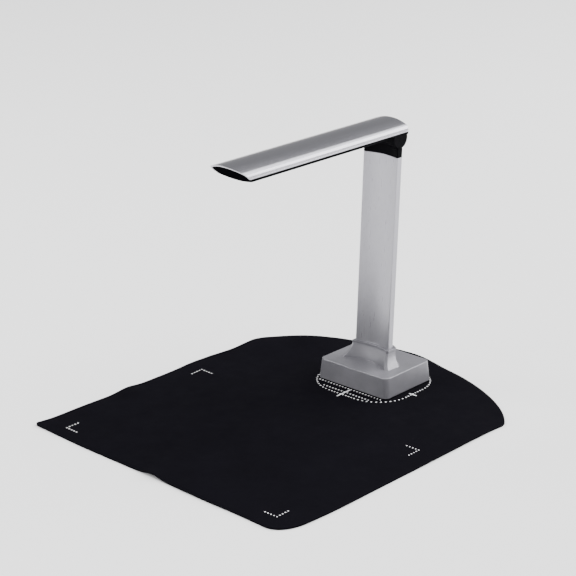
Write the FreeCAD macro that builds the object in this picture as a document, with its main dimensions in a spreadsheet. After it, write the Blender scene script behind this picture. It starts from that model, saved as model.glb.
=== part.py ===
import FreeCAD, Part
import math
import os
import re

import Sketcher
from FreeCAD import Placement, Rotation, Vector

# A folding document and book scanner that stands on its own soft mat.
#
# Object frame, in millimetres: X runs across the scanner, the arm points along -Y, +Z is up
# and z = 0 is the table under the middle of the mat. Three frames are used:
#   table   the object frame itself: mat and base
#   column  origin on the hinge axis, z along the column, which leans back a little
#   arm     origin on the hinge axis, upright: the arm in its open position

DIMENSIONS = {
    # mat: straight front and sides, one large arc behind
    "mat_width": 354, "mat_front": 202, "mat_thickness": 2,
    "mat_arc_radius": 236, "mat_arc_centre": 34,
    "mat_left_corner": 5, "mat_right_corner": 25, "mat_rear_corner": 8,
    # hinge axis and lean of the column, in degrees
    "pivot_back": 135.6, "pivot_height": 273.3, "column_lean": 3,
    # base shell
    "base_width": 97, "base_depth": 77.5, "base_back": 125.45, "base_bottom": 3, "base_top": 25,
    "base_draft": 5, "base_corner": 6, "base_wall": 2.5, "base_edge": 0.7,
    "dish_front": 102, "dish_radius": 260, "dish_depth": 0.9,
    # collar round the foot of the column: outlines at the foot, heel, waist and rim
    "foot_front_half": 30, "foot_front": 106, "foot_side_half": 34, "foot_side_front": 108,
    "foot_back_half": 35.6, "foot_side_back": 125, "foot_front_radius": 43.5, "foot_back_radius": 42,
    "heel_height": 28.4, "heel_front_half": 26.6, "heel_front": 109.4, "heel_side_half": 29.8,
    "heel_side_front": 111.2, "heel_back_half": 30.8, "heel_side_back": 126.2,
    "heel_front_radius": 44, "heel_back_radius": 41,
    "waist_height": 34, "waist_front_half": 24, "waist_front": 113.2, "waist_side_half": 26.6,
    "waist_side_front": 114.8, "waist_back_half": 27.1, "waist_side_back": 127.8,
    "waist_front_radius": 47, "waist_back_radius": 41.5,
    "rim_height": 43, "rim_front_half": 22.6, "rim_front": 116.8, "rim_side_half": 24.7,
    "rim_side_front": 118.2, "rim_back_half": 24.9, "rim_side_back": 130.2,
    "rim_front_radius": 56, "rim_back_radius": 47,
    "lip_height": 2.6, "lip_front_half": 23.2, "lip_front": 116.1, "lip_side_half": 25.4,
    "lip_side_front": 117.7, "lip_back_half": 25.6, "lip_side_back": 130.6,
    "lip_front_radius": 56, "lip_back_radius": 46,
    # column extrusion
    "column_width": 46, "column_edge": 8, "column_front_radius": 55.4, "column_back_radius": 41.3,
    "column_top": 20.5, "column_bottom": 259, "column_wall": 1.8, "column_round": 1,
    "column_chamfer": 0.4,
    "cavity_half": 14.5, "port_side": 18.4, "port_back": 2.4, "port_radius": 1.45,
    "passage_gap": 0.15,
    # hinge
    "fold_limit": 84, "fold_gap": 0.5,
    "lobe_radius": 10.5, "knuckle_radius": 9.6, "knuckle_gap": 0.3, "lobe_gap": 0.4,
    "knuckle_half": 14, "lobe_inner": 15.2, "lobe_outer": 23.4, "fork_top": 8.8, "plug_bottom": 45,
    "shaft_radius": 3, "shaft_inner": 2, "shaft_outer": 21.4, "running_gap": 0.05,
    "bush_radius": 4.5, "bush_bore": 2.9, "bush_inner": 8.7, "bush_outer": 17.4,
    "washer_radius": 8, "washer_thickness": 1, "nut_radius": 4.6, "nut_thickness": 2,
    "nut_pocket_radius": 5.05, "nut_pocket_depth": 4.8, "cap_radius": 5, "cap_thickness": 1.2,
    # cables
    "cable_radius": 1.2, "cable_side": 6, "cable_back": 5.6, "led_cable_radius": 0.8,
    "ribbon_width": 8, "ribbon_thickness": 0.3,
    # weight and bottom cover
    "weight_half": 40, "weight_depth_half": 29, "weight_bottom": 5.2, "weight_top": 13,
    "pad_half": 26, "pad_front": 8, "pad_back": 15, "cover_top": 5, "cover_gap": 0.15,
    "foot_radius": 5, "foot_side": 38, "foot_depth": 27, "foot_recess": 0.8,
    "boss_side": 36, "boss_depth": 24, "boss_radius": 4, "cover_screw_side": 20,
    "cover_screw_depth": 22,
    # socket board in the base
    "usb_board_half": 12, "usb_board_front": 145.5, "usb_board_back": 160,
    "usb_board_bottom": 14.6, "usb_board_thickness": 1.2, "socket_width": 8.9, "socket_height": 3.2,
    "socket_back": 162.7, "socket_length": 7.4, "socket_wall": 0.3, "socket_gap": 0.35,
    # arm shell: outside of the section above the seam
    "arm_half": 24, "arm_top": 17, "arm_top_radius": 51, "shoulder_radius": 6.2,
    "seam": 5.2, "arm_wall": 1.6, "rib_half": 17.5, "rib_bottom": 8, "rib_rear": 14,
    "arm_rear": 11.4, "arm_tip": 237.7, "tip_overhang": 20.8,
    "groove_bottom": 6.2, "groove_height": 0.5, "groove_depth": 0.4,
    # arm tray: the lens-shaped underside
    "tray_half": 23.4, "tray_bottom": 1.7, "tray_radius": 72, "tray_corner": 2.2, "tray_wall": 1.8,
    "tray_lip": 22.3, "rail_half": 17.6, "rail_top": 7.9, "tray_gap": 0.1,
    "tray_rear": 12.2, "rear_wall_front": 9.3, "rear_cap_back": 11.1,
    "tip_recess": 0.9, "tip_thickness": 3,
    # camera, from the window up to the board
    "camera_front": 205, "bezel_radius": 8, "bezel_bottom": 1.8, "bezel_top": 3, "bezel_bore": 5.4,
    "window_radius": 6.4, "window_bottom": 1.6, "window_thickness": 0.8, "barrel_radius": 4.5,
    "barrel_bore": 3.6, "barrel_bottom": 2.4, "barrel_top": 9.4, "holder_half": 7,
    "holder_bottom": 5.4, "camera_board_bottom": 11, "camera_board_thickness": 1,
    "camera_board_half": 12.6, "camera_board_depth": 8, "camera_post_side": 10.5,
    "camera_post_radius": 1.7, "sensor_half": 4.2, "sensor_thickness": 0.8,
    # light strip
    "window_half": 16, "light_front": 190, "light_rear": 174, "diffuser_top": 2.9,
    "led_board_half": 17, "led_board_front": 191, "led_board_rear": 169.5,
    "led_board_bottom": 5, "led_board_thickness": 1, "led_size": 3, "led_height": 0.8,
    "led_pitch": 5, "led_count": 6, "led_post_side": 13, "led_post_back": 171.6,
    # main board
    "board_half": 17, "board_front": 160, "board_rear": 60, "board_bottom": 6.2,
    "board_thickness": 1.2, "board_post_side": 14.5, "board_post_front": 140,
    "board_post_rear": 70, "board_post_radius": 2.2,
    # light button and its switch
    "button_front": 150, "button_radius": 4.9, "button_hole": 5.2, "button_bottom": 1.9,
    "button_top": 0.7, "button_flange": 6.3, "flange_top": 1.5, "switch_half": 3,
    "switch_bottom": 3.4, "plunger_radius": 1.7, "plunger_bottom": 2.3,
    # screws that hold the tray to the shell
    "arm_screw_side": 19.9, "arm_screw_seat": 5.4,
}

doc = FreeCAD.newDocument("book_scanner")
dims = doc.addObject("Spreadsheet::Sheet", "dims")
for row, (alias, number) in enumerate(DIMENSIONS.items(), start=1):
    dims.set(f"A{row}", alias.replace("_", " "))
    dims.set(f"B{row}", str(number))
    dims.setAlias(f"B{row}", alias)
doc.recompute()

sub_parts = []


# ---------------------------------------------------------------- expressions and placing

def expr(text):
    """An expression of cell names, with each name pointed at the sheet."""
    return re.sub(r"[A-Za-z_]\w*", lambda m: f"dims.{m[0]}" if m[0] in DIMENSIONS else m[0], str(text))


def value(text):
    return float(dims.evalExpression(expr(text)))


def bind(thing, **properties):
    """Bind properties to expressions; a double underscore stands for a dot."""
    for name, text in properties.items():
        thing.setExpression(name.replace("__", "."), expr(text))


def stand(thing, frame):
    """Place a thing that was drawn at the hinge axis in the column or arm frame."""
    if frame == "column":
        thing.Placement = Placement(Vector(), Rotation(Vector(-1, 0, 0), DIMENSIONS["column_lean"]))
        bind(thing, Placement__Rotation__Angle="column_lean")
    if frame in ("column", "arm"):
        bind(thing, Placement__Base__y="pivot_back", Placement__Base__z="pivot_height")
    return thing


def keep(thing, node, frame="table"):
    """Name a finished sub-part, stand it in its frame and list it for export."""
    thing.Label = node
    stand(thing, frame)
    sub_parts.append(thing)
    return thing


# ---------------------------------------------------------------- solids from primitives

def block(name, low, high):
    """A box between two corners."""
    box = doc.addObject("Part::Box", name)
    sizes = [f"({b}) - ({a})" for a, b in zip(low, high)]
    bind(box, Length=sizes[0], Width=sizes[1], Height=sizes[2])
    bind(box, Placement__Base__x=low[0], Placement__Base__y=low[1], Placement__Base__z=low[2])
    return box


def drum(name, start, radius, length, axis="z"):
    """A cylinder from the middle of its first face, along +z or +x."""
    cylinder = doc.addObject("Part::Cylinder", name)
    if axis == "x":
        cylinder.Placement = Placement(Vector(), Rotation(Vector(0, 1, 0), 90))
    bind(cylinder, Radius=radius, Height=length)
    bind(cylinder, Placement__Base__x=start[0], Placement__Base__y=start[1],
         Placement__Base__z=start[2])
    return cylinder


def fuse(name, *pieces):
    union = doc.addObject("Part::MultiFuse", name)
    union.Shapes = list(pieces)
    return union


def cut(name, base, *tools):
    """Take the tools away from the base."""
    difference = doc.addObject("Part::Cut", name)
    difference.Base = base
    difference.Tool = tools[0] if len(tools) == 1 else fuse(f"{name}_tools", *tools)
    return difference


def common(name, base, tool):
    overlap = doc.addObject("Part::Common", name)
    overlap.Base = base
    overlap.Tool = tool
    return overlap


def group(name, pieces):
    """Separate solids that share one node."""
    together = doc.addObject("Part::Compound", name)
    together.Links = list(pieces)
    return together


def screw(name, place, head_radius, head_height, shank_radius, length, points_up=True):
    """A pan-head screw with a cross slot; place is the middle of the seat under the head."""
    sign = 1 if points_up else -1
    x, y, z = place
    head_low = f"({z}) - {head_height}" if points_up else z
    shank_low = z if points_up else f"({z}) - {length}"
    face = f"({z}) - {sign * head_height}"
    bars = [(0.62 * head_radius, 0.15 * head_radius), (0.15 * head_radius, 0.62 * head_radius)]
    slot_depth = 0.55 * head_height
    slots = [block(f"{name}_slot_{k}",
                   (f"({x}) - {a}", f"({y}) - {b}", f"({face}) - {slot_depth}"),
                   (f"({x}) + {a}", f"({y}) + {b}", f"({face}) + {slot_depth}"))
             for k, (a, b) in enumerate(bars)]
    solid = fuse(f"{name}_solid", drum(f"{name}_head", (x, y, head_low), head_radius, head_height),
                 drum(f"{name}_shank", (x, y, shank_low), shank_radius, length))
    return cut(name, solid, *slots)


def corners(x, y, centre_y="0"):
    """The four places at plus and minus x and y about a centre line."""
    return [(f"{i} * ({x})", f"{centre_y} + {j} * ({y})") for i in (-1, 1) for j in (-1, 1)]


# ---------------------------------------------------------------- solids from sketches

def body(name):
    return doc.addObject("PartDesign::Body", name)


def sketch(owner, plane, offset="0"):
    """An empty sketch on an origin plane of its body, moved along the plane's normal."""
    drawing = owner.newObject("Sketcher::SketchObject", f"{owner.Name}_sketch")
    flat = next(f for f in owner.Origin.OriginFeatures if f.Role == f"{plane}_Plane")
    drawing.AttachmentSupport = [(flat, "")]
    drawing.MapMode = "FlatFace"
    bind(drawing, AttachmentOffset__Base__z=offset)
    return drawing


def dimension(drawing, text, kind, *where):
    """Add one dimension and bind it to an expression."""
    index = drawing.addConstraint(Sketcher.Constraint(kind, *where, value(text)))
    drawing.setExpression(f"Constraints[{index}]", expr(text))


def outline(owner, plane, points, offset="0"):
    """A closed outline. A point is (across, up), or (across, up, radius, side) where an arc leads
    to the next point and bulges to the left (side 1) or right (side -1) of the way it goes."""
    drawing = sketch(owner, plane, offset)
    places = [Vector(value(p[0]), value(p[1]), 0) for p in points]
    ends = []
    for k, point in enumerate(points):
        here, there = places[k], places[(k + 1) % len(points)]
        if len(point) == 2:
            edge = drawing.addGeometry(Part.LineSegment(here, there), False)
            ends.append((edge, 1, 2))
            continue
        radius, side = value(point[2]), point[3]
        along = there - here
        rise = radius - math.sqrt(radius ** 2 - (along.Length / 2) ** 2)
        left = Vector(-along.y, along.x, 0).normalize()
        middle = (here + there) * 0.5 + left * (side * rise)
        # Sketch arcs run anticlockwise, so one that bulges to the left is drawn backward.
        first, last = (there, here) if side > 0 else (here, there)
        edge = drawing.addGeometry(Part.Arc(first, middle, last), False)
        ends.append((edge, 2, 1) if side > 0 else (edge, 1, 2))
    for k, point in enumerate(points):
        edge, first, last = ends[k]
        following = ends[(k + 1) % len(points)]
        drawing.addConstraint(Sketcher.Constraint("Coincident", edge, last, following[0], following[1]))
        dimension(drawing, point[0], "DistanceX", -1, 1, edge, first)
        dimension(drawing, point[1], "DistanceY", -1, 1, edge, first)
        if len(point) > 2:
            dimension(drawing, point[2], "Radius", edge)
    return drawing


def rings(owner, plane, places, radius, offset="0"):
    """Circles of one radius at the places given."""
    drawing = sketch(owner, plane, offset)
    for x, y in places:
        circle = Part.Circle(Vector(value(x), value(y), 0), Vector(0, 0, 1), value(radius))
        edge = drawing.addGeometry(circle, False)
        dimension(drawing, x, "DistanceX", -1, 1, edge, 3)
        dimension(drawing, y, "DistanceY", -1, 1, edge, 3)
        dimension(drawing, radius, "Radius", edge)
    return drawing


def feature(owner, kind, drawing, length, reverse=False, both=False, taper=None):
    """A Pad or Pocket of a sketch along its normal."""
    step = owner.newObject(f"PartDesign::{kind}", f"{owner.Name}_{kind}")
    step.Profile = drawing
    step.Reversed = reverse
    step.SideType = "Symmetric" if both else "One side"
    bind(step, Length=length)
    if taper is not None:
        bind(step, TaperAngle=taper)
    drawing.Visibility = False
    return step


def pad(owner, drawing, length, **options):
    return feature(owner, "Pad", drawing, length, **options)


def pocket(owner, drawing, length, **options):
    """A Pocket, checked to take something away."""
    doc.recompute()
    before = owner.Shape.Volume
    step = feature(owner, "Pocket", drawing, length, **options)
    doc.recompute()
    if owner.Shape.Volume > before - 1e-3:
        raise RuntimeError(f"{step.Name} cuts nothing")
    return step


def round_edges(owner, radius, wanted):
    """A Fillet on the edges of the body's last step that wanted picks."""
    doc.recompute()
    base = owner.Tip
    names = [f"Edge{k}" for k, edge in enumerate(base.Shape.Edges, start=1) if wanted(edge)]
    step = owner.newObject("PartDesign::Fillet", f"{owner.Name}_round")
    step.Base = (base, names)
    bind(step, Radius=radius)
    return step


def chamfer_edges(owner, size, wanted):
    """A Chamfer on the edges of the body's last step that wanted picks."""
    doc.recompute()
    base = owner.Tip
    names = [f"Edge{k}" for k, edge in enumerate(base.Shape.Edges, start=1) if wanted(edge)]
    step = owner.newObject("PartDesign::Chamfer", f"{owner.Name}_chamfer")
    step.Base = (base, names)
    bind(step, Size=size)
    return step


def rises(edge):
    """Whether an edge runs mostly upward."""
    ends = [v.Point for v in edge.Vertexes]
    along = ends[-1] - ends[0]
    return abs(along.z) > 0.9 * along.Length > 0


def rounded_path(points, radii):
    """Straight runs through the points, joined by tangent arcs of the radii given."""
    points = [Vector(*(value(c) for c in p)) for p in points]
    edges = []
    start = points[0]
    for before, corner, after, radius in zip(points, points[1:], points[2:], radii):
        back = (before - corner).normalize()
        ahead = (after - corner).normalize()
        half_turn = (math.pi - back.getAngle(ahead)) / 2
        reach = radius * math.tan(half_turn)
        inward = (back + ahead).normalize()
        middle = corner + inward * (radius / math.cos(half_turn) - radius)
        edges.append(Part.LineSegment(start, corner + back * reach).toShape())
        edges.append(Part.Arc(corner + back * reach, middle, corner + ahead * reach).toShape())
        start = corner + ahead * reach
    edges.append(Part.LineSegment(start, points[-1]).toShape())
    return Part.Wire(edges)


def swept(name, points, radii, profile):
    """A cable or ribbon: a profile carried along straight runs and tangent arcs."""
    path = rounded_path(points, radii)
    solid = path.makePipeShell([profile], True, False)
    section = Part.Face(profile).Area
    if abs(solid.Volume / (section * path.Length) - 1) > 0.03:
        raise RuntimeError(f"{name} has lost its section")
    piece = doc.addObject("Part::Feature", name)
    piece.Shape = solid
    return piece


def round_section(place, direction, radius):
    centre = Vector(*(value(c) for c in place))
    return Part.Wire(Part.Circle(centre, Vector(*direction), value(radius)).toShape())


# ---------------------------------------------------------------- mat and feet

def make_mat():
    owner = body("mat_body")
    side = "mat_width / 2"
    rear = f"sqrt(mat_arc_radius ^ 2 - ({side}) ^ 2) - mat_arc_centre"
    points = [(f"-{side}", "-mat_front"), (side, "-mat_front"),
              (side, rear, "mat_arc_radius", -1), (f"-{side}", rear)]
    pad(owner, outline(owner, "XY", points), "mat_thickness")
    limits = {"mat_left_corner": lambda p: p.x < 0 and p.y < 0,
              "mat_right_corner": lambda p: p.x > 0 and p.y < 0,
              "mat_rear_corner": lambda p: p.y > 0}
    for radius, here in limits.items():
        round_edges(owner, radius, lambda e, here=here: rises(e) and here(e.CenterOfMass))
    keep(owner, "mat")


def make_feet():
    height = "base_bottom + foot_recess - mat_thickness"
    feet = [drum(f"foot_{k}", (x, y, "mat_thickness"), "foot_radius", height)
            for k, (x, y) in enumerate(corners("foot_side", "foot_depth", "base_back"))]
    keep(group("feet", feet), "rubber_feet")


# ---------------------------------------------------------------- base

def rectangle(half_width, half_depth, middle):
    return [(f"-({half_width})", f"{middle} - ({half_depth})"),
            (half_width, f"{middle} - ({half_depth})"),
            (half_width, f"{middle} + ({half_depth})"),
            (f"-({half_width})", f"{middle} + ({half_depth})")]


def collar_outline(owner, level, height):
    """The collar at one level: hollow in front, cut corners, straight sides, full behind."""
    cell = {word: f"{level}_{word}" for word in
            ("front_half", "front", "side_half", "side_front", "back_half", "side_back")}
    points = [(f"-{cell['front_half']}", cell["front"], f"{level}_front_radius", 1),
              (cell["front_half"], cell["front"]),
              (cell["side_half"], cell["side_front"]),
              (cell["back_half"], cell["side_back"], f"{level}_back_radius", -1),
              (f"-{cell['back_half']}", cell["side_back"]),
              (f"-{cell['side_half']}", cell["side_front"])]
    return outline(owner, "XY", points, height)


def make_base_shell():
    moulding = body("base_moulding")
    plan = rectangle("base_width / 2", "base_depth / 2", "base_back")
    height = "base_top - base_bottom"
    pad(moulding, outline(moulding, "XY", plan, "base_bottom"), height, taper="-base_draft")
    round_edges(moulding, "base_corner", rises)
    hollow = rectangle("base_width / 2 - base_wall", "base_depth / 2 - base_wall", "base_back")
    pocket(moulding, outline(moulding, "XY", hollow, "base_bottom"), f"{height} - base_wall",
           reverse=True, taper="-base_draft")
    top = value("base_top")
    round_edges(moulding, "base_edge", lambda e: abs(e.BoundBox.ZMin - top) < 1e-6)

    collar = body("collar")
    levels = [("foot", "base_top - base_wall / 2"), ("heel", "heel_height"),
              ("waist", "waist_height"), ("rim", "rim_height")]
    drawings = [collar_outline(collar, level, height) for level, height in levels]
    loft = collar.newObject("PartDesign::AdditiveLoft", "collar_loft")
    loft.Profile = drawings[0]
    loft.Sections = drawings[1:]
    lip = body("collar_lip")
    pad(lip, collar_outline(lip, "lip", "rim_height - lip_height"), "lip_height")

    bosses = [drum(f"base_boss_{k}", (x, y, "weight_top"), "boss_radius",
                   "base_top - base_wall / 2 - weight_top")
              for k, (x, y) in enumerate(corners("boss_side", "boss_depth", "base_back"))]
    posts = [drum(f"usb_boss_{k}", (x, y, "usb_board_bottom + usb_board_thickness"), 2.6,
                  "base_top - base_wall / 2 - usb_board_bottom - usb_board_thickness")
             for k, (x, y) in enumerate(USB_SCREWS)]
    solid = fuse("base_solid", moulding, collar, lip, *bosses, *posts)

    passage = stand(column_prism("column_passage", "passage_gap", "column_bottom + 1", 100), "column")
    dish = doc.addObject("Part::Sphere", "dish")
    bind(dish, Radius="dish_radius", Placement__Base__y="dish_front",
         Placement__Base__z="base_top - dish_depth + dish_radius")
    front_of_collar = common("dish_front_part", dish, block(
        "dish_limit", (-40, "base_back - base_depth / 2", "base_top - 3"),
        (40, "foot_front + 14", "base_top + 1")))
    dish_tool = cut("dish_tool", front_of_collar, collar)
    port = usb_prism("usb_port", "socket_gap", "socket_back - 4", 8)
    holes = [drum(f"base_boss_hole_{k}", (x, y, "weight_top - 1"), 1.47, 8)
             for k, (x, y) in enumerate(corners("boss_side", "boss_depth", "base_back"))]
    holes += [drum(f"usb_boss_hole_{k}", (x, y, "usb_board_bottom"), 1.12, 5.5)
              for k, (x, y) in enumerate(USB_SCREWS)]
    keep(cut("base", solid, passage, dish_tool, port, *holes), "base_shell")


def make_weight():
    """The steel slab in the base, with a sloping pad that the column stands on."""
    slab = body("weight_slab")
    plan = rectangle("weight_half", "weight_depth_half", "base_back")
    pad(slab, outline(slab, "XY", plan, "weight_bottom"), "weight_top - weight_bottom")
    round_edges(slab, 4, rises)
    seat = stand(group("weight_seat", [block(
        "weight_seat_block", ("-pad_half", "-pad_front", "-column_bottom - 4"),
        ("pad_half", "pad_back", "-column_bottom"))]), "column")
    tools = []
    for k, (x, y) in enumerate(corners("boss_side", "boss_depth", "base_back")):
        tools.append(drum(f"weight_hole_{k}", (x, y, "weight_bottom - 1"), 1.6, 12))
        tools.append(drum(f"weight_sink_{k}", (x, y, "weight_bottom - 1"), 3.1, 3.4))
    for k, (x, y) in enumerate(corners("cover_screw_side", "cover_screw_depth", "base_back")):
        tools.append(drum(f"weight_tap_{k}", (x, y, "weight_bottom - 1"), 1.32, 6.5))
    leaning = []
    for k, side in enumerate(("-port_side", "port_side")):
        leaning.append(drum(f"seat_hole_{k}", (side, "port_back", "-column_bottom - 14"), 1.6, 20))
        leaning.append(drum(f"seat_sink_{k}", (side, "port_back", "-column_bottom - 14"), 3.1, 8))
    tools.append(stand(group("seat_holes", leaning), "column"))
    keep(cut("weight", fuse("weight_solid", slab, seat), *tools), "base_weight")


def make_bottom_cover():
    plate = body("cover_plate")
    plan = rectangle("base_width / 2 - base_wall - cover_gap",
                     "base_depth / 2 - base_wall - cover_gap", "base_back")
    pad(plate, outline(plate, "XY", plan, "base_bottom"), "cover_top - base_bottom",
        taper="-base_draft")
    round_edges(plate, "base_corner - base_wall", rises)
    tools = [drum(f"foot_recess_{k}", (x, y, "base_bottom - 1"), "foot_radius + 0.05",
                  "foot_recess + 1")
             for k, (x, y) in enumerate(corners("foot_side", "foot_depth", "base_back"))]
    for k, (x, y) in enumerate(corners("cover_screw_side", "cover_screw_depth", "base_back")):
        tools.append(drum(f"cover_hole_{k}", (x, y, "base_bottom - 1"), 1.45, 4))
        tools.append(drum(f"cover_sink_{k}", (x, y, "base_bottom - 1"), 3, 2.2))
    keep(cut("cover", plate, *tools), "bottom_cover")


def make_base_screws():
    weight = [screw(f"weight_screw_{k}", (x, y, "weight_bottom + 2.4"), 2.9, 2, 1.45, 11.5)
              for k, (x, y) in enumerate(corners("boss_side", "boss_depth", "base_back"))]
    keep(group("weight_screw_group", weight), "weight_screws")
    cover = [screw(f"cover_screw_{k}", (x, y, "base_bottom + 1.2"), 2.8, 1, 1.3, 6)
             for k, (x, y) in enumerate(corners("cover_screw_side", "cover_screw_depth", "base_back"))]
    keep(group("cover_screw_group", cover), "cover_screws")
    column = [screw(f"column_screw_{k}", (side, "port_back", "-column_bottom - 6"), 2.9, 2, 1.42, 19)
              for k, side in enumerate(("-port_side", "port_side"))]
    keep(group("column_screw_group", column), "column_screws", "column")


# ---------------------------------------------------------------- socket board

USB_SCREWS = [("8.5", "usb_board_front + 4"), ("-8.5", "usb_board_back - 2.9")]


def usb_prism(name, grow, start, length):
    """A bar with the flat-oval section of the data socket, along +Y."""
    owner = body(name)
    half = f"socket_width / 2 - socket_height / 2"
    middle = "usb_board_bottom + usb_board_thickness + socket_height / 2"
    radius = f"socket_height / 2 + {grow}"
    low, high = f"{middle} - ({radius})", f"{middle} + ({radius})"
    points = [(f"-({half})", low), (half, low, f"({radius}) * 1.0001", -1),
              (half, high), (f"-({half})", high, f"({radius}) * 1.0001", -1)]
    drawing = outline(owner, "XZ", points, f"-({start})")
    pad(owner, drawing, length, reverse=True)
    return owner


def make_usb_parts():
    board_top = "usb_board_bottom + usb_board_thickness"
    board = block("usb_board_blank", ("-usb_board_half", "usb_board_front", "usb_board_bottom"),
                  ("usb_board_half", "usb_board_back", board_top))
    holes = [drum(f"usb_hole_{k}", (x, y, "usb_board_bottom - 1"), 1.25, 4)
             for k, (x, y) in enumerate(USB_SCREWS)]
    keep(cut("usb_board_cut", board, *holes), "usb_board")

    start = "socket_back - socket_length"
    outer = usb_prism("socket_outer", 0, start, "socket_length")
    inner = usb_prism("socket_inner", "-socket_wall", f"{start} + 1", "socket_length")
    middle = f"{board_top} + socket_height / 2"
    tongue = block("socket_tongue", (-3.3, f"{start} + 0.5", f"{middle} - 0.35"),
                   (3.3, "socket_back - 1", f"{middle} + 0.35"))
    keep(fuse("socket", cut("socket_can", outer, inner), tongue), "usb_socket")

    keep(group("usb_plug_group", [block("usb_plug", ("-cable_side - 3.5", "usb_board_front + 0.6", board_top),
                                        ("-cable_side + 3.5", "usb_board_front + 5.6",
                                         f"{board_top} + 4.4"))]), "base_cable_connector")
    screws = [screw(f"usb_screw_{k}", (x, y, "usb_board_bottom"), 2, 1.3, 1.1, 5)
              for k, (x, y) in enumerate(USB_SCREWS)]
    keep(group("usb_screw_group", screws), "usb_board_screws")


# ---------------------------------------------------------------- column

def column_section(grow="0"):
    """The column's outline: hollow in front, narrow flat edges, full behind."""
    side, edge = f"(column_width / 2 + {grow})", f"(column_edge / 2 + {grow})"
    return [(f"-{side}", f"-{edge}", "column_front_radius", 1), (side, f"-{edge}"),
            (side, edge, "column_back_radius", -1), (f"-{side}", edge)]


def cavity_section(inset="0"):
    """The hollow in the middle of the column."""
    half = f"(cavity_half - {inset})"
    centre_front = "(column_edge / 2 + sqrt(column_front_radius ^ 2 - (column_width / 2) ^ 2))"
    centre_back = "(column_edge / 2 - sqrt(column_back_radius ^ 2 - (column_width / 2) ^ 2))"
    front_radius = f"(column_front_radius + column_wall + {inset})"
    back_radius = f"(column_back_radius - column_wall - {inset})"
    front = f"sqrt({front_radius} ^ 2 - {half} ^ 2) - {centre_front}"
    back = f"sqrt({back_radius} ^ 2 - {half} ^ 2) + {centre_back}"
    return [(f"-{half}", front, front_radius, 1), (half, front),
            (half, back, back_radius, -1), (f"-{half}", back)]


def column_prism(name, grow, bottom, length):
    owner = body(name)
    pad(owner, outline(owner, "XY", column_section(grow), f"-({bottom})"), length)
    return owner


def make_column():
    owner = column_prism("column_bar", "0", "column_bottom", "column_bottom - column_top")
    round_edges(owner, "column_round", rises)
    top = -value("column_top")
    chamfer_edges(owner, "column_chamfer", lambda e: abs(e.BoundBox.ZMin - top) < 1e-6)
    length = "column_bottom - column_top + 1"
    pocket(owner, outline(owner, "XY", cavity_section(), "-column_bottom"), length, reverse=True)
    ports = [("-port_side", "port_back"), ("port_side", "port_back")]
    pocket(owner, rings(owner, "XY", ports, "port_radius", "-column_bottom"), length, reverse=True)
    notch = block("cable_notch", ("-cable_side - 3", "cable_back", "-column_bottom - 1"),
                  ("-cable_side + 3", "cable_back + 8", "-column_bottom + 9"))
    keep(cut("column", owner, notch), "column_extrusion", "column")


def make_fork():
    """The moulding on top of the column: a plug below and the middle knuckle of the hinge."""
    top = column_prism("fork_block", "0", "column_top", "column_top - fork_top")
    round_edges(top, "column_round", rises)
    plug = body("fork_plug")
    pad(plug, outline(plug, "XY", cavity_section("0.12"), "-plug_bottom"),
        "plug_bottom - column_top")
    clear = [drum(f"lobe_clearance_{k}", (start, 0, 0), "lobe_radius + lobe_gap", 14, "x")
             for k, start in enumerate(("knuckle_half", "-knuckle_half - 14"))]
    shoulders = cut("fork_shoulders", fuse("fork_rough", top, plug), *clear)
    knuckle = drum("fork_knuckle", ("-knuckle_half", 0, 0), "knuckle_radius", "2 * knuckle_half", "x")
    back = block("knuckle_back", ("-knuckle_half", 0, "-fork_top - 1"),
                 ("knuckle_half", "knuckle_radius", 0))
    channel_x = ("-cable_side - 2.6", "-cable_side + 2.4")
    tools = [
        drum("shaft_bore", ("shaft_inner - 0.5", 0, 0), "shaft_radius + running_gap", 15, "x"),
        drum("bush_bore", ("-knuckle_half - 1", 0, 0), "bush_radius + running_gap",
             "knuckle_half + 1 - bush_inner + 0.2", "x"),
        block("cable_way_low", (channel_x[0], 3.6, "-plug_bottom - 1"), (channel_x[1], 7.8, -7)),
        block("cable_way_high", (channel_x[0], -1.6, -8), (channel_x[1], 7.8, 1.6)),
    ]
    for k, side in enumerate(("-port_side", "port_side")):
        tools.append(drum(f"fork_hole_{k}", (side, "port_back", "-column_top - 1"), 1.6, 14))
        tools.append(drum(f"fork_sink_{k}", (side, "port_back", -14.8), 3, 10))
    keep(cut("fork", fuse("fork_solid", shoulders, knuckle, back), *tools), "hinge_fork", "column")
    screws = [screw(f"fork_screw_{k}", (side, "port_back", -14.8), 2.8, 2, 1.42, 17, points_up=False)
              for k, side in enumerate(("-port_side", "port_side"))]
    keep(group("fork_screw_group", screws), "fork_screws", "column")


def make_column_cable():
    """The lead from the socket board up the column and out along the hinge axis."""
    points = [("-cable_side", 23.5, "-column_bottom + 4.5"),
              ("-cable_side", "cable_back", "-column_bottom + 4.5"),
              ("-cable_side", "cable_back", -7), ("-cable_side", 0, 0), (-14.9, 0, 0)]
    profile = round_section(points[0], (0, 1, 0), "cable_radius")
    keep(swept("column_lead", points, [5, 5, 4.4], profile), "column_cable", "column")


# ---------------------------------------------------------------- hinge

def ring(name, start, outer, inner, length):
    """A flat ring or tube along the hinge axis."""
    return cut(name, drum(f"{name}_outer", (start, 0, 0), outer, length, "x"),
               drum(f"{name}_inner", (f"({start}) - 1", 0, 0), inner, f"({length}) + 2", "x"))


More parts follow.
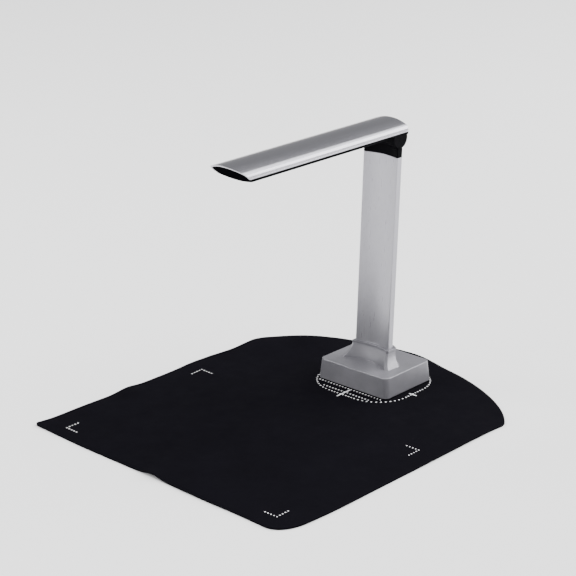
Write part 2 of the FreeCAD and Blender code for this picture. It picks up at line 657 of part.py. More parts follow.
def make_hinge():
    shaft = drum("shaft", ("shaft_inner", 0, 0), "shaft_radius", "shaft_outer - shaft_inner", "x")
    flat = block("shaft_flat", ("lobe_inner", -3, "shaft_radius - 0.6"), ("shaft_outer + 1", 3, 4))
    keep(cut("shaft_cut", shaft, flat), "hinge_shaft", "arm")
    keep(ring("bush", "-bush_outer", "bush_radius", "bush_bore", "bush_outer - bush_inner"),
         "hinge_bush", "arm")
    gap = "(lobe_inner - knuckle_half - washer_thickness) / 2"
    washers = [ring("right_washer", f"knuckle_half + {gap}", "washer_radius", "shaft_radius + 0.05",
                    "washer_thickness"),
               ring("left_washer", f"-lobe_inner + {gap}", "washer_radius", "bush_radius + 0.05",
                    "washer_thickness")]
    keep(group("washer_group", washers), "friction_washers", "arm")

    seat = "lobe_outer - nut_pocket_depth"
    springs = []
    for k in range(2):
        start = f"{seat} + {0.6 * k}"
        cone = doc.addObject("Part::Cone", f"spring_cone_{k}")
        cone.Placement = Placement(Vector(), Rotation(Vector(0, 1, 0), 90))
        radii = (4.9, 3.9) if k == 0 else (3.9, 4.9)
        bind(cone, Radius1=radii[0], Radius2=radii[1], Height=0.55, Placement__Base__x=start)
        springs.append(cut(f"spring_{k}", cone, drum(f"spring_hole_{k}", (f"{start} - 1", 0, 0),
                                                     "shaft_radius + 0.05", 3, "x")))
    keep(group("spring_group", springs), "spring_washers", "arm")

    nut = doc.addObject("Part::Prism", "nut_blank")
    nut.Placement = Placement(Vector(), Rotation(Vector(0, 1, 0), 90))
    nut.Polygon = 6
    bind(nut, Circumradius="nut_radius", Height="nut_thickness", Placement__Base__x=f"{seat} + 1.2")
    keep(cut("nut", nut, drum("nut_hole", (seat, 0, 0), "shaft_radius + 0.02", 6, "x")),
         "hinge_nut", "arm")

    caps = [drum("right_cap", ("lobe_outer - cap_thickness", 0, 0), "cap_radius", "cap_thickness", "x"),
            drum("left_cap", ("-lobe_outer", 0, 0), "bush_radius", "cap_thickness", "x")]
    keep(group("cap_group", caps), "hinge_caps", "arm")


# ---------------------------------------------------------------- arm shell and end pieces

TOP_CENTRE = "(arm_top - arm_top_radius)"
SHOULDER_REACH = "(arm_half - shoulder_radius)"
SHOULDER_HALF = f"({SHOULDER_REACH} * arm_top_radius / (arm_top_radius - shoulder_radius))"
SHOULDER_BOTTOM = (f"(sqrt((arm_top_radius - shoulder_radius) ^ 2 - {SHOULDER_REACH} ^ 2)"
                   f" + {TOP_CENTRE})")


def inner_top(half, gap="0"):
    """Height of the shell's inner roof at a distance from the middle."""
    return f"sqrt((arm_top_radius - arm_wall - {gap}) ^ 2 - ({half}) ^ 2) + {TOP_CENTRE}"


def outer_top(half):
    return f"sqrt(arm_top_radius ^ 2 - ({half}) ^ 2) + {TOP_CENTRE}"


def inner_section(bottom, gap="0", ribs=True):
    """The room inside the shell, going round it from the lower left corner."""
    half = f"(arm_half - arm_wall - {gap})"
    if ribs:
        rib = f"(rib_half - {gap})"
        step = f"rib_bottom - {gap}"
        top = inner_top(rib, gap)
        right = [(half, bottom), (half, step), (rib, step)]
        left = [(f"-{rib}", step), (f"-{half}", step), (f"-{half}", bottom)]
    else:
        rib = f"(rib_half + 3.4 - {gap})"
        top = inner_top(rib, gap)
        right = [(half, bottom), (half, f"rib_bottom + 0.6 - {gap}")]
        left = [(f"-{half}", f"rib_bottom + 0.6 - {gap}"), (f"-{half}", bottom)]
    roof_radius = f"arm_top_radius - arm_wall - {gap}"
    return right + [(rib, top, roof_radius, -1), (f"-{rib}", top)] + left


def rake_face(shift, low, high):
    """Two points on the raked end of the arm, moved along the arm, at two heights."""
    slope = "tip_overhang / (arm_top + tray_bottom)"
    return [(f"-arm_tip + {shift} + (arm_top - ({z})) * {slope}", z) for z in (low, high)]


def trim_tip(owner, shift="0"):
    """Cut a body off at the raked end of the arm."""
    low, high = rake_face(shift, "-5", "25")
    points = [low, high, ("-arm_tip - 60", "25"), ("-arm_tip - 60", "-5")]
    pocket(owner, outline(owner, "YZ", points), 60, both=True)


def trim_behind_tip(owner, shift):
    """Keep only what lies in front of a plane behind the raked end."""
    low, high = rake_face(shift, "-5", "25")
    points = [low, ("-arm_tip + 90", "-5"), ("-arm_tip + 90", "25"), high]
    pocket(owner, outline(owner, "YZ", points), 60, both=True)


def make_arm_shell():
    owner = body("shell_bar")
    peak = outer_top(SHOULDER_HALF)
    outside = [("-arm_half", "seam"), ("-arm_half", SHOULDER_BOTTOM, "shoulder_radius", 1),
               (f"-{SHOULDER_HALF}", peak, "arm_top_radius", 1),
               (SHOULDER_HALF, peak, "shoulder_radius", 1),
               ("arm_half", SHOULDER_BOTTOM), ("arm_half", "seam")]
    pad(owner, outline(owner, "XZ", outside + inner_section("seam"), "-arm_rear"),
        "arm_rear + arm_tip + 1")
    trim_tip(owner)

    mouth = body("shell_mouth")
    pad(mouth, outline(mouth, "XZ", inner_section("seam - 1", "0", ribs=False), "arm_tip - 40"), 50)
    trim_behind_tip(mouth, "tip_recess + tip_thickness + 0.2")
    tools = [mouth]
    for k, low in enumerate(("-arm_half + arm_wall", "rib_half - 0.5")):
        high = f"({low}) + arm_half - arm_wall - rib_half + 0.5"
        roof = block(f"rib_end_{k}", (low, "-rib_rear", "rib_bottom - 0.5"), (high, "arm_rear + 1", 20))
        inside = doc.addObject("Part::Cylinder", f"rib_roof_{k}")
        inside.Placement = Placement(Vector(), Rotation(Vector(1, 0, 0), 90))
        bind(inside, Radius="arm_top_radius - arm_wall", Height="arm_rear + rib_rear + 4",
             Placement__Base__y="arm_rear + 2", Placement__Base__z=TOP_CENTRE)
        tools.append(common(f"rib_relief_{k}", roof, inside))
    for k, low in enumerate(("-arm_half - 1", "arm_half - groove_depth")):
        tools.append(block(f"side_groove_{k}", (low, "-arm_tip - 1", "groove_bottom"),
                           (f"({low}) + groove_depth + 1", "arm_rear + 1",
                            "groove_bottom + groove_height")))
    tools += [drum(f"shell_tap_{k}", (x, y, "seam - 1"), 1.17, "11.4 - seam + 1")
              for k, (x, y) in enumerate(ARM_SCREWS)]
    keep(cut("shell", owner, *tools), "arm_shell", "arm")


def lens_height(half, wall="0"):
    """Height of the tray's curved bottom, or of its inner face, at a distance from the middle."""
    return (f"(tray_radius - tray_bottom) - sqrt((tray_radius - {wall}) ^ 2 - ({half}) ^ 2)")


def underside():
    """The tray's outside, from its upper left edge round below to its upper right edge."""
    reach = "(tray_half - tray_corner)"
    touch = f"({reach} * tray_radius / (tray_radius - tray_corner))"
    low = lens_height(touch)
    side = f"(tray_radius - tray_bottom - sqrt((tray_radius - tray_corner) ^ 2 - {reach} ^ 2))"
    return [("-tray_half", "seam - tray_gap"), ("-tray_half", side, "tray_corner", -1),
            (f"-{touch}", low, "tray_radius", -1), (touch, low, "tray_corner", -1),
            ("tray_half", side), ("tray_half", "seam - tray_gap")]


def make_tip_cap():
    """The dark panel in the raked mouth of the arm; its lower edge carries on the tray's curve."""
    owner = body("tip_panel")
    half = "(arm_half - arm_wall - tray_gap)"
    points = underside() + [(half, "seam - tray_gap")]
    points += inner_section("seam + 1", "tray_gap", ribs=False)[1:-1]
    points += [(f"-{half}", "seam - tray_gap")]
    pad(owner, outline(owner, "XZ", points, "arm_tip - 40"), 50)
    trim_behind_tip(owner, "tip_recess + tip_thickness")
    trim_tip(owner, "tip_recess")
    keep(owner, "tip_cap", "arm")


def make_rear_cap():
    owner = body("rear_panel")
    pad(owner, outline(owner, "XZ", inner_section("seam", "tray_gap", ribs=False), "-rear_cap_back"),
        "rear_cap_back - rear_wall_front")
    room = drum("rear_knuckle_room", ("-lobe_inner", 0, 0), "knuckle_radius + knuckle_gap",
                "2 * lobe_inner", "x")
    keep(cut("rear_cap_cut", owner, room), "rear_cap", "arm")


# ---------------------------------------------------------------- arm tray

ARM_SCREWS = [(side, y) for y in (-40, -125, -196) for side in ("-arm_screw_side", "arm_screw_side")]
BOARD_POSTS = [(f"{i} * board_post_side", y) for y in ("-board_post_front", "-board_post_rear")
               for i in (-1, 1)]
CAMERA_POSTS = [(f"{i} * camera_post_side", "-camera_front") for i in (-1, 1)]
LED_POSTS = [(f"{i} * led_post_side", "-led_post_back") for i in (-1, 1)]


def lens_prism(name, rear, length):
    """A bar with the tray's curved bottom and a flat top between its two edges."""
    owner = body(name)
    pad(owner, outline(owner, "XZ", underside(), f"-({rear})"), length)
    return owner


def tray_bar():
    """The tray's long moulding: a curved floor between two rails."""
    owner = body("tray_section")
    floor = lens_height("rail_half", "tray_wall")
    lip = "seam - tray_gap"
    points = underside()
    points += [("tray_lip", lip), ("tray_lip", "rail_top"), ("rail_half", "rail_top"),
               ("rail_half", floor, "tray_radius - tray_wall", 1), ("-rail_half", floor),
               ("-rail_half", "rail_top"), ("-tray_lip", "rail_top"), ("-tray_lip", lip)]
    pad(owner, outline(owner, "XZ", points, "-rear_wall_front"), "rear_wall_front + arm_tip + 1")
    trim_tip(owner, "tip_recess + tip_thickness + 0.05")
    return owner


def fold_nest():
    """The room that the column and the fork need in the tray when the arm is folded down."""
    prism = column_prism("nest_prism", "fold_gap", 70, "70 - fork_top + fold_gap")
    lobes = [drum(f"nest_lobe_{k}", (start, 0, 0), "lobe_radius + 0.1", 12, "x")
             for k, start in enumerate(("lobe_inner", "-lobe_inner - 12"))]
    nest = cut("nest", prism, *lobes)
    nest.Placement = Placement(Vector(), Rotation(Vector(-1, 0, 0), 87))
    bind(nest, Placement__Rotation__Angle="column_lean + fold_limit")
    return nest


def make_tray():
    pieces = [tray_bar()]
    pieces.append(lens_prism("tray_rear_wall", "tray_rear", "tray_rear - rear_wall_front + 1"))
    for k, start in enumerate(("lobe_inner", "-lobe_outer")):
        lobe = drum(f"lobe_{k}", (start, 0, 0), "lobe_radius", "lobe_outer - lobe_inner", "x")
        over = block(f"lobe_over_{k}", (start, -12, "rail_top"), (f"({start}) + 9", 12, 12))
        outside = ("tray_lip", 30) if k == 0 else (-30, "-tray_lip")
        beside = block(f"lobe_beside_{k}", (outside[0], -12, "seam - tray_gap"),
                       (outside[1], 12, 12))
        pieces.append(cut(f"lobe_trimmed_{k}", lobe, over, beside))
    posts = [(BOARD_POSTS, "board_post_radius", "board_bottom", 0.7),
             (CAMERA_POSTS, "camera_post_radius", "camera_board_bottom", 0.1),
             (LED_POSTS, "camera_post_radius", "led_board_bottom", 0.4)]
    for kind, (places, radius, top, foot) in enumerate(posts):
        pieces += [drum(f"post_{kind}_{k}", (x, y, foot), radius, f"{top} - {foot}")
                   for k, (x, y) in enumerate(places)]

    tools = [fold_nest(),
             drum("knuckle_room", ("-lobe_inner", 0, 0), "knuckle_radius + knuckle_gap",
                  "2 * lobe_inner", "x"),
             drum("tray_shaft_hole", ("lobe_inner - 1", 0, 0), "shaft_radius + 0.02", 20, "x"),
             drum("nut_pocket", ("lobe_outer - nut_pocket_depth", 0, 0), "nut_pocket_radius", 8, "x"),
             drum("tray_bush_hole", ("-lobe_outer - 1", 0, 0), "bush_radius + 0.02",
                  "lobe_outer - lobe_inner + 2", "x"),
             block("lobe_cable_way", (-21.6, -2.4, 0), (-18, 3.6, 10)),
             drum("bezel_hole", (0, "-camera_front", -4), "bezel_radius + 0.05", 9),
             block("light_opening", ("-window_half", "-light_front", -3),
                   ("window_half", "-light_rear", "led_board_bottom")),
             drum("button_opening", (0, "-button_front", -3), "button_hole", 8)]
    for k, (x, y) in enumerate(ARM_SCREWS):
        tools.append(drum(f"tray_screw_hole_{k}", (x, y, 0), 1.25, 12))
        tools.append(drum(f"tray_screw_sink_{k}", (x, y, -1), 2.25, "arm_screw_seat + 1"))
    holes = [(BOARD_POSTS, 0.97, "board_bottom", 3.2), (CAMERA_POSTS, 0.82, "camera_board_bottom", 6),
             (LED_POSTS, 0.82, "led_board_bottom", 2.2)]
    for kind, (places, radius, top, depth) in enumerate(holes):
        tools += [drum(f"post_hole_{kind}_{k}", (x, y, f"{top} - {depth}"), radius, depth + 1)
                  for k, (x, y) in enumerate(places)]
    keep(cut("tray", fuse("tray_solid", *pieces), *tools), "arm_tray", "arm")
    screws = [screw(f"arm_screw_{k}", (x, y, "arm_screw_seat"), 2.1, 1.4, 1.15, 5.6)
              for k, (x, y) in enumerate(ARM_SCREWS)]
    keep(group("arm_screw_group", screws), "arm_screws", "arm")


# ---------------------------------------------------------------- camera

def disc(name, radius, low, high):
    """An upright disc on the camera's axis."""
    return drum(name, (0, "-camera_front", low), radius, f"({high}) - ({low})")


def lens_element(index, low, thickness, curve):
    """One glass element: a disc with two ball-shaped faces."""
    rough = disc(f"element_{index}_disc", "barrel_bore - 0.03", low, low + thickness)
    faces = []
    for k, centre in enumerate((low + curve, low + thickness - curve)):
        ball = doc.addObject("Part::Sphere", f"element_{index}_ball_{k}")
        bind(ball, Radius=curve, Placement__Base__y="-camera_front", Placement__Base__z=centre)
        faces.append(ball)
    return common(f"element_{index}", common(f"element_{index}_half", rough, faces[0]), faces[1])


def make_camera():
    window_top = "window_thickness - window_bottom"
    keep(cut("bezel", disc("bezel_disc", "bezel_radius", "-bezel_bottom", "bezel_top"),
             disc("bezel_seat", "window_radius + 0.05", -3, window_top),
             disc("bezel_hollow", "bezel_bore", -2, "bezel_top + 1")), "camera_bezel", "arm")
    keep(group("window_group", [disc("window", "window_radius", "-window_bottom", window_top)]),
         "camera_window", "arm")
    keep(cut("barrel", disc("barrel_disc", "barrel_radius", "barrel_bottom", "barrel_top"),
             disc("barrel_mouth", "barrel_bore - 0.8", "barrel_bottom - 1", "barrel_bottom + 1"),
             disc("barrel_hole", "barrel_bore", "barrel_bottom + 0.6", "barrel_top + 1")),
         "lens_barrel", "arm")
    elements = [(3, 1.5, 8), (5.2, 0.9, 14), (7.2, 1.6, 7)]
    keep(group("elements", [lens_element(k, *data) for k, data in enumerate(elements)]),
         "lens_elements", "arm")

    low, high = "-camera_front - holder_half", "-camera_front + holder_half"
    blank = block("holder_blank", ("-holder_half", low, "holder_bottom"),
                  ("holder_half", high, "camera_board_bottom"))
    room = block("sensor_room", ("-holder_half + 1.6", f"{low} + 1.6", "barrel_top + 0.2"),
                 ("holder_half - 1.6", f"{high} - 1.6", "camera_board_bottom + 1"))
    keep(cut("holder", blank, room, disc("holder_bore", "barrel_radius + 0.02", "holder_bottom - 1",
                                         "barrel_top + 1")), "lens_holder", "arm")
    sensor = block("sensor", ("-sensor_half", "-camera_front - sensor_half",
                              "camera_board_bottom - sensor_thickness"),
                   ("sensor_half", "-camera_front + sensor_half", "camera_board_bottom"))
    keep(group("sensor_group", [sensor]), "image_sensor", "arm")

    top = "camera_board_bottom + camera_board_thickness"
    board = block("camera_blank", ("-camera_board_half", "-camera_front - camera_board_depth",
                                   "camera_board_bottom"),
                  ("camera_board_half", "-camera_front + camera_board_depth", top))
    holes = [drum(f"camera_hole_{k}", (x, y, "camera_board_bottom - 1"), 0.95, 3)
             for k, (x, y) in enumerate(CAMERA_POSTS)]
    keep(cut("camera_board_cut", board, *holes), "camera_board", "arm")
    screws = [screw(f"camera_screw_{k}", (x, y, top), 1.5, 0.9, 0.8, 6, points_up=False)
              for k, (x, y) in enumerate(CAMERA_POSTS)]
    keep(group("camera_screw_group", screws), "camera_board_screws", "arm")


# ---------------------------------------------------------------- lights

def make_lights():
    top = "led_board_bottom + led_board_thickness"
    board = block("led_blank", ("-led_board_half", "-led_board_front", "led_board_bottom"),
                  ("led_board_half", "-led_board_rear", top))
    holes = [drum(f"led_hole_{k}", (x, y, "led_board_bottom - 1"), 0.95, 3)
             for k, (x, y) in enumerate(LED_POSTS)]
    keep(cut("led_board_cut", board, *holes), "led_board", "arm")
    middle = "-(light_front + light_rear) / 2"
    lamps = []
    for k in range(DIMENSIONS["led_count"]):
        x = f"({k} - (led_count - 1) / 2) * led_pitch"
        lamps.append(block(f"led_{k}", (f"{x} - led_size / 2", f"{middle} - led_size / 2",
                                        "led_board_bottom - led_height"),
                           (f"{x} + led_size / 2", f"{middle} + led_size / 2", "led_board_bottom")))
    keep(group("led_group", lamps), "leds", "arm")
    slab = lens_prism("diffuser_slab", "-light_rear - 0.1", "light_front - light_rear - 0.2")
    sides = block("diffuser_sides", ("-window_half + 0.1", "-light_front", -2),
                  ("window_half - 0.1", "-light_rear", "diffuser_top"))
    keep(common("diffuser", slab, sides), "light_diffuser", "arm")
    screws = [screw(f"led_screw_{k}", (x, y, top), 1.5, 0.9, 0.8, 3, points_up=False)
              for k, (x, y) in enumerate(LED_POSTS)]
    keep(group("led_screw_group", screws), "led_board_screws", "arm")


# ---------------------------------------------------------------- main board and button

BOARD_TOP = "board_bottom + board_thickness"


def chip(name, x, y, width, depth, height):
    """A flat component on top of the main board."""
    return block(name, (x - width / 2, y - depth / 2, BOARD_TOP),
                 (x + width / 2, y + depth / 2, f"{BOARD_TOP} + {height}"))


def make_main_board():
    blank = block("board_blank", ("-board_half", "-board_front", "board_bottom"),
                  ("board_half", "-board_rear", BOARD_TOP))
    holes = [drum(f"board_hole_{k}", (x, y, "board_bottom - 1"), 1.1, 3)
             for k, (x, y) in enumerate(BOARD_POSTS)]
    keep(cut("main_board_cut", blank, *holes), "main_board", "arm")

    chips = [chip("processor", 0, -104, 12, 12, 1.2), chip("memory", -9, -124, 8, 9, 1),
             chip("flash", 8, -122, 5, 6, 1), chip("regulator", 9, -88, 6, 6, 1.6),
             chip("crystal", -9, -90, 3.2, 5, 1.2)]
    chips += [drum(f"capacitor_{k}", (x, -78, BOARD_TOP), 2, 3.2) for k, x in enumerate((-4, 2, 8))]
    chips += [chip(f"resistor_{k}", -12 + 3 * k, -112, 1.6, 0.8, 0.5) for k in range(3)]
    keep(group("chip_group", chips), "board_components", "arm")
    screws = [screw(f"board_screw_{k}", (x, y, BOARD_TOP), 1.9, 1.2, 0.95, 4.2, points_up=False)
              for k, (x, y) in enumerate(BOARD_POSTS)]
    keep(group("board_screw_group", screws), "main_board_screws", "arm")

    switch = block("switch_case", ("-switch_half", "-button_front - switch_half", "switch_bottom"),
                   ("switch_half", "-button_front + switch_half", "board_bottom"))
    plunger = drum("switch_plunger", (0, "-button_front", "plunger_bottom"), "plunger_radius",
                   "switch_bottom - plunger_bottom + 0.2")
    keep(fuse("switch", switch, plunger), "button_switch", "arm")
    cap = drum("button_cap", (0, "-button_front", "-button_bottom"), "button_radius",
               "button_top + button_bottom")
    flange = drum("button_flange_disc", (0, "-button_front", "button_top"), "button_flange",
                  "flange_top - button_top")
    keep(fuse("button", cap, flange), "light_button", "arm")


# ---------------------------------------------------------------- cables in the arm

def make_arm_cables():
    lead_z = 9.3
    points = [(-15.2, 0, 0), (-19.9, 0, 0), (-19.9, 0, lead_z), (-13.5, -12, lead_z),
              (-13.5, "-board_rear - 2", lead_z)]
    profile = round_section(points[0], (1, 0, 0), "cable_radius")
    keep(swept("arm_lead", points, [3.4, 3.4, 10], profile), "arm_cable", "arm")

    board_top, camera_top = value(BOARD_TOP), value("camera_board_bottom + camera_board_thickness")
    led_top = value("led_board_bottom + led_board_thickness")
    sockets = [
        block("lead_socket", (-17, -68, BOARD_TOP), (-10, "-board_rear - 2.2", f"{BOARD_TOP} + 4")),
        block("ribbon_socket_main", (-6, -158, BOARD_TOP), (6, -154.5, f"{BOARD_TOP} + 1.4")),
        block("ribbon_socket_camera", (-6, -200.5, camera_top), (6, -197.1, camera_top + 1.4)),
        block("led_socket_main", (7, -159, BOARD_TOP), (12, -154, f"{BOARD_TOP} + 2.4")),
        block("led_socket_strip", (7, -183, led_top), (12, -178, led_top + 2.4)),
    ]
    keep(group("socket_group", sockets), "cable_connectors", "arm")

    high, low = camera_top + 0.7, board_top + 0.7
    points = [(0, -197.05, high), (0, -190, high), (0, -165, low), (0, -158.05, low)]
    half, thin = value("ribbon_width / 2"), value("ribbon_thickness / 2")
    rim = [Vector(x, -197.05, high + z) for x, z in ((-half, -thin), (half, -thin), (half, thin), (-half, thin))]
    profile = Part.makePolygon(rim + rim[:1])
    keep(swept("ribbon", points, [12, 12], profile), "camera_ribbon", "arm")

    points = [(9.5, -177.95, led_top + 1.3), (9.5, -173, led_top + 1.3),
              (9.5, -164, board_top + 1.3), (9.5, -159.05, board_top + 1.3)]
    profile = round_section(points[0], (0, 1, 0), "led_cable_radius")
    keep(swept("led_lead", points, [8, 8], profile), "led_cable", "arm")


# ---------------------------------------------------------------- build, check and write

make_mat()
make_feet()
make_base_shell()
make_weight()
make_bottom_cover()
make_base_screws()
make_usb_parts()
make_column()
make_fork()
make_column_cable()
make_hinge()
make_arm_shell()
make_tip_cap()
make_rear_cap()
make_tray()
make_camera()
make_lights()
make_main_board()
make_arm_cables()
doc.recompute()

for thing in doc.Objects:
    if "Invalid" in thing.State or "Error" in thing.State:
        raise RuntimeError(f"{thing.Name} failed: {thing.State}")
for thing in sub_parts:
    if thing.Shape.isNull() or not thing.Shape.isValid() or not thing.Shape.Solids:
        raise RuntimeError(f"{thing.Label} has no sound shape")

os.makedirs("parts", exist_ok=True)
for thing in sub_parts:
    thing.Shape.exportStep(f"parts/{thing.Label}.step")
    box = thing.Shape.BoundBox
    print(f"{thing.Label:22s} solids {len(thing.Shape.Solids):2d}  volume {thing.Shape.Volume:10.1f}"
          f"  x {box.XMin:7.1f} {box.XMax:7.1f}  y {box.YMin:7.1f} {box.YMax:7.1f}"
          f"  z {box.ZMin:6.1f} {box.ZMax:6.1f}")
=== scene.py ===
import math
import random

import bmesh
import bpy
from mathutils import Matrix, Vector, noise


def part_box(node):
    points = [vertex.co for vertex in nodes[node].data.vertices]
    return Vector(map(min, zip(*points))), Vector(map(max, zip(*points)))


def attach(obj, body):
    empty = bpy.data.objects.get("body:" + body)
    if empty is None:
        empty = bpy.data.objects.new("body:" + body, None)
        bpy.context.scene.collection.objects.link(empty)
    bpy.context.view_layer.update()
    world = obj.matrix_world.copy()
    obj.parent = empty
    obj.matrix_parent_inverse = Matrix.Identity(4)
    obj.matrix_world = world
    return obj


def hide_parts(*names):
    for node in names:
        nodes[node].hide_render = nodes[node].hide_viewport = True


# A folding book scanner on its mat. Everything is in metres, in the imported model's frame:
# +X to the user's right, the arm points along -Y, +Z up, z = 0 under the mat.

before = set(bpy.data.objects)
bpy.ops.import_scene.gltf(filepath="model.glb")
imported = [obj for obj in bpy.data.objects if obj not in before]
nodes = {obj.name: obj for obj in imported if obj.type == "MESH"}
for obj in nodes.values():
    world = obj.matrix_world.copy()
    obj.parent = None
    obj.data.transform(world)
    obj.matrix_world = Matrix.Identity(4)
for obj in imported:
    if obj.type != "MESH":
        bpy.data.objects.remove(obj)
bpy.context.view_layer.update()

MM = 0.001


# ---------------------------------------------------------------- camera

AZIMUTH = math.radians(42.713)
ELEVATION = math.radians(19.935)
ROLL = math.radians(-0.42)
CAMERA_PLACE = (1.1204, -1.2258, 0.7430)


def add_camera():
    back = Vector((math.sin(AZIMUTH) * math.cos(ELEVATION),
                   -math.cos(AZIMUTH) * math.cos(ELEVATION), math.sin(ELEVATION)))
    right = Vector((math.cos(AZIMUTH), math.sin(AZIMUTH), 0))
    up = back.cross(right)
    tilted_right = right * math.cos(ROLL) + up * math.sin(ROLL)
    tilted_up = up * math.cos(ROLL) - right * math.sin(ROLL)
    turn = Matrix((tilted_right, tilted_up, back)).transposed()
    data = bpy.data.cameras.new("camera")
    data.lens = 109.2
    data.sensor_width = 36
    data.clip_start = 0.05
    data.clip_end = 50
    camera = bpy.data.objects.new("camera", data)
    camera.matrix_world = Matrix.Translation(CAMERA_PLACE) @ turn.to_4x4()
    bpy.context.scene.collection.objects.link(camera)
    bpy.context.scene.camera = camera


# ---------------------------------------------------------------- materials

class Shader:
    """A node material, built from the Principled shader outward."""

    def __init__(self, name, color, roughness=0.5, metallic=0.0, **sockets):
        self.material = bpy.data.materials.new(name)
        self.material.use_nodes = True
        self.tree = self.material.node_tree
        self.shader = self.tree.nodes["Principled BSDF"]
        self.color = (*color, 1)
        self.roughness = roughness
        self.shader.inputs["Base Color"].default_value = self.color
        self.shader.inputs["Roughness"].default_value = roughness
        self.shader.inputs["Metallic"].default_value = metallic
        for socket, number in sockets.items():
            self.shader.inputs[socket.replace("_", " ")].default_value = number
        self.coordinates = self.tree.nodes.new("ShaderNodeTexCoord").outputs["Object"]

    def node(self, kind, **settings):
        made = self.tree.nodes.new(f"ShaderNode{kind}")
        for key, setting in settings.items():
            if hasattr(made, key):
                setattr(made, key, setting)
            else:
                made.inputs[key.replace("_", " ")].default_value = setting
        return made

    def link(self, start, end):
        self.tree.links.new(start, end)

    def noise(self, scale, stretch=(1, 1, 1), detail=3.0, roughness=0.55):
        """A noise pattern: scale is in features a metre, stretched along an axis by a small factor."""
        mapping = self.node("Mapping", Scale=tuple(scale * s for s in stretch))
        self.link(self.coordinates, mapping.inputs["Vector"])
        texture = self.node("TexNoise", Scale=1.0, Detail=detail, Roughness=roughness)
        self.link(mapping.outputs["Vector"], texture.inputs["Vector"])
        return texture.outputs["Fac"]

    def cells(self, scale, feature="F1"):
        texture = self.node("TexVoronoi", feature=feature, Scale=scale)
        self.link(self.coordinates, texture.inputs["Vector"])
        return texture.outputs["Distance"]

    def remap(self, value, low, high, start=0.3, end=0.7):
        mapped = self.node("MapRange")
        for socket, number in (("From Min", start), ("From Max", end), ("To Min", low), ("To Max", high)):
            mapped.inputs[socket].default_value = number
        self.link(value, mapped.inputs["Value"])
        return mapped.outputs["Result"]

    def tint(self, value, other, start=0.35, end=0.65):
        """Let the colour drift toward another one where the pattern is high."""
        mix = self.node("Mix", data_type="RGBA")
        socket = self.shader.inputs["Base Color"]
        mix.inputs[6].default_value = self.color
        mix.inputs[7].default_value = (*other, 1)
        if socket.links:
            self.link(socket.links[0].from_socket, mix.inputs[6])
        self.link(self.remap(value, 0, 1, start, end), mix.inputs[0])
        self.link(mix.outputs[2], socket)
        return self

    def vary_roughness(self, value, low, high):
        self.link(self.remap(value, low, high), self.shader.inputs["Roughness"])
        return self

    def soft_edges(self, radius):
        """Catch light on the edges as if they were rounded; comes before any bump."""
        edge = self.node("Bevel", Radius=radius)
        edge.samples = 6
        self.link(edge.outputs["Normal"], self.shader.inputs["Normal"])
        return self

    def bump(self, value, height, strength=1.0):
        """Raise the surface by a pattern; height is in metres. Bumps add up."""
        bump = self.node("Bump", Strength=strength, Distance=height)
        self.link(value, bump.inputs["Height"])
        socket = self.shader.inputs["Normal"]
        if socket.links:
            self.link(socket.links[0].from_socket, bump.inputs["Normal"])
        self.link(bump.outputs["Normal"], socket)
        return self


def anodised(name, grain, tone, metallic=1.0, roughness=0.3):
    """Satin anodised aluminium with faint drawing lines along the extrusion."""
    made = Shader(name, (tone, tone * 0.985, tone * 1.07), roughness=roughness, metallic=metallic)
    made.soft_edges(0.5 * MM)
    lines = made.noise(2600, grain, detail=4)
    made.tint(lines, (tone * 0.88, tone * 0.867, tone * 0.945))
    made.vary_roughness(made.noise(900, grain), roughness - 0.03, roughness + 0.05)
    made.bump(lines, 4e-6, 0.12)
    made.bump(made.noise(9000), 4e-6, 0.2)
    return made.material


def metallic_paint():
    """Silver paint over moulded plastic: fine flakes under a thin clear coat."""
    made = Shader("silver_paint", (0.195, 0.192, 0.211), roughness=0.34, metallic=0.45,
                  Coat_Weight=0.12, Coat_Roughness=0.25)
    made.soft_edges(0.8 * MM)
    made.tint(made.noise(7000, detail=2), (0.24, 0.236, 0.258))
    made.tint(made.noise(30), (0.18, 0.177, 0.195))
    made.vary_roughness(made.noise(400), 0.34, 0.44)
    made.bump(made.noise(5200), 5e-6, 0.3)
    return made.material


def moulded(name, color, roughness=0.5, grain=3000, depth=1.2e-5, **sockets):
    """Moulded plastic with a fine spark-eroded grain and uneven sheen."""
    made = Shader(name, color, roughness=roughness, **sockets)
    lighter = tuple(min(1, c * 1.35 + 0.0008) for c in color)
    made.tint(made.noise(60), lighter, 0.3, 0.9)
    made.vary_roughness(made.noise(260), roughness - 0.06, roughness + 0.07)
    made.bump(made.cells(grain), depth, 0.4)
    made.bump(made.noise(grain * 1.7), depth * 0.5, 0.3)
    return made.material


def polished(name, color, roughness=0.12):
    made = Shader(name, color, roughness=roughness, Coat_Weight=0.5, Coat_Roughness=0.05)
    made.tint(made.noise(80), tuple(c * 1.4 + 0.001 for c in color), 0.4, 0.9)
    made.vary_roughness(made.noise(150), roughness * 0.8, roughness * 1.6)
    made.bump(made.noise(120), 2e-6, 0.2)
    return made.material


def steel(name, color, roughness=0.3, stretch=(1, 1, 1)):
    made = Shader(name, color, roughness=roughness, metallic=1.0)
    made.tint(made.noise(900, stretch), tuple(c * 0.75 for c in color))
    made.vary_roughness(made.noise(500), roughness - 0.06, roughness + 0.12)
    made.bump(made.noise(3500, stretch), 6e-6, 0.4)
    return made.material


def casting():
    made = Shader("rough_casting", (0.11, 0.11, 0.115), roughness=0.62, metallic=0.8)
    made.tint(made.noise(180), (0.16, 0.145, 0.13))
    made.bump(made.noise(1400, detail=6), 8e-5, 0.6)
    return made.material


def rubber(name, color=(0.018, 0.018, 0.019), grain=2500):
    made = Shader(name, color, roughness=0.72, Specular_IOR_Level=0.35)
    made.tint(made.noise(90), (0.03, 0.03, 0.031), 0.4, 0.9)
    made.vary_roughness(made.noise(300), 0.64, 0.82)
    made.bump(made.noise(grain), 2e-5, 0.4)
    return made.material


